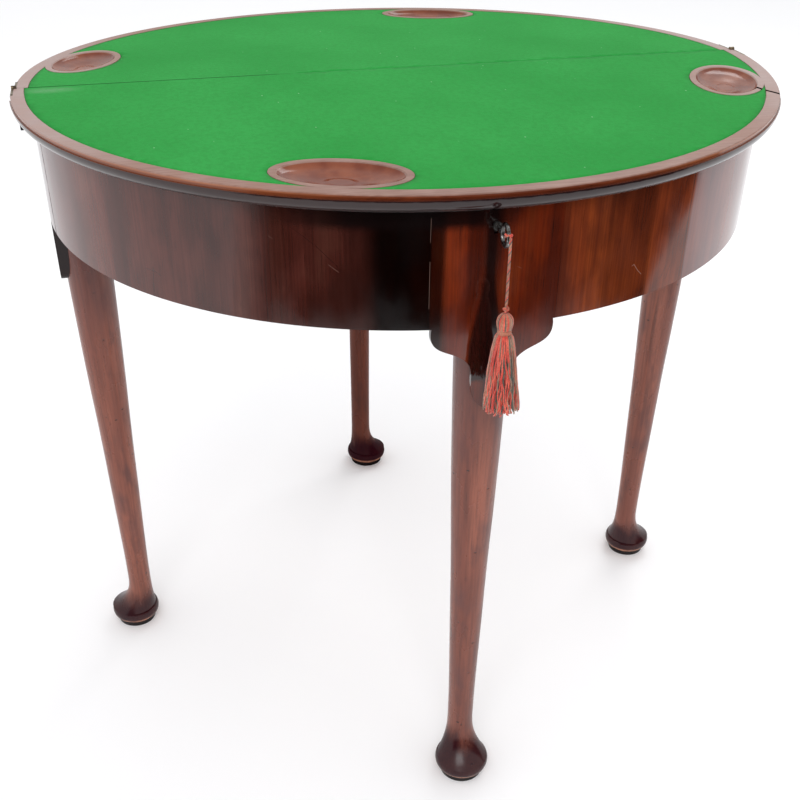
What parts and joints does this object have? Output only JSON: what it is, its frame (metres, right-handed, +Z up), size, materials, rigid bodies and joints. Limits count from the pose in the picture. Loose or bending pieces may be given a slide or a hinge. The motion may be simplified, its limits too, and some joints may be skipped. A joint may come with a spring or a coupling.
{
  "type": "folding card table",
  "caption": "Half-round mahogany card table shown open, with a fold-over baize top, counter wells, a swinging gate leg, pad feet and a key with a tassel.",
  "frame": {"origin": "on the floor under the middle of the open table, key included and hanging tassel left out; the fold line lies 9 mm behind it", "axes": "+Z up, -Y towards the key and the centre leg, +Y towards the leaf that folds over, +X to the right seen from the key"},
  "size_m": [0.8378, 0.8701, 0.7406],
  "materials": {
    "top_wood": "old mahogany, french polished, worn at the edge",
    "frieze_wood": "dark mahogany, glossy",
    "leg_wood": "dark mahogany, polished, dented",
    "inner_wood": "plain oak, unfinished",
    "black_wood": "blackened",
    "baize": "green wool baize",
    "brass": "aged",
    "steel": "plain",
    "dark_steel": "browned with age",
    "cord": "twisted silk cord",
    "tassel_silk": "coral, tan and grey-green silk strands"
  },
  "bodies": {
    "frame": {"fixed_leaf": "top_wood", "fixed_baize": "baize", "fixed_hinge_left": "brass", "fixed_hinge_right": "brass", "fold_hinge_pins": "brass", "fixed_hinge_screws": "brass", "rim_block_left": "black_wood", "rim_block_right": "black_wood", "frieze_left": "frieze_wood", "frieze_right": "frieze_wood", "frieze_centre": "frieze_wood", "corner_stile_left": "frieze_wood", "corner_stile_right": "frieze_wood", "centre_apron": "frieze_wood", "lappet_left": "frieze_wood", "lappet_right": "frieze_wood", "front_leg": "leg_wood", "left_leg": "leg_wood", "right_leg": "leg_wood", "back_rail": "inner_wood", "gate_fixed_rail": "inner_wood", "gate_pin": "steel", "well_floor": "inner_wood", "floor_bearers": "inner_wood", "glue_blocks": "inner_wood", "lid_hinges": "brass", "lock_case": "steel", "lock_screws": "steel", "strike_plate": "brass"},
    "fold_top": {"fold_leaf": "top_wood", "fold_baize": "baize", "fold_hinge_left": "brass", "fold_hinge_right": "brass", "fold_hinge_screws": "brass"},
    "gate": {"gate_rail": "inner_wood", "gate_leg": "leg_wood"},
    "bolt": {"lock_bolt": "steel"},
    "turning_key": {"key": "dark_steel", "tassel_loop": "cord"},
    "hanging_cord": {"loop_knot": "cord", "tassel_cord": "cord", "tassel_knot": "cord"},
    "tassel": {"tassel_head": "tassel_silk", "tassel_binding": "tassel_silk", "tassel_skirt": "tassel_silk"}
  },
  "joints": [
    {"name": "leaf_fold", "type": "hinge", "parent": "frame", "child": "fold_top", "pos_m": [0, 0.00917, 0.7382], "axis": [1, 0, 0], "range_deg": [0, 182.3]},
    {"name": "gate_swing", "type": "hinge", "parent": "frame", "child": "gate", "pos_m": [0.008, 0.01617, 0.65], "axis": [0, 0, 1], "range_deg": [0, 90]},
    {"name": "key_turn", "type": "hinge", "parent": "frame", "child": "turning_key", "pos_m": [-0.0035, -0.39083, 0.7024], "axis": [0, 1, 0], "range_deg": [0, 90]},
    {"name": "bolt_slide", "type": "slide", "parent": "frame", "child": "bolt", "axis": [0, 0, 1], "range_m": [-0.00605, 0]},
    {"name": "cord_turn", "type": "hinge", "parent": "turning_key", "child": "hanging_cord", "pos_m": [-0.0035, -0.42809, 0.7068], "axis": [0, 1, 0], "range_deg": [-90, 0]},
    {"name": "tassel_swing", "type": "hinge", "parent": "hanging_cord", "child": "tassel", "pos_m": [-0.0035, -0.42883, 0.64075], "axis": [0, 1, 0], "range_deg": [-40, 40]}
  ],
  "couplings": [
    {"joint": "bolt_slide", "follows": "key_turn", "m_per_rad": -0.00382},
    {"joint": "cord_turn", "follows": "key_turn", "ratio": -1}
  ]
}
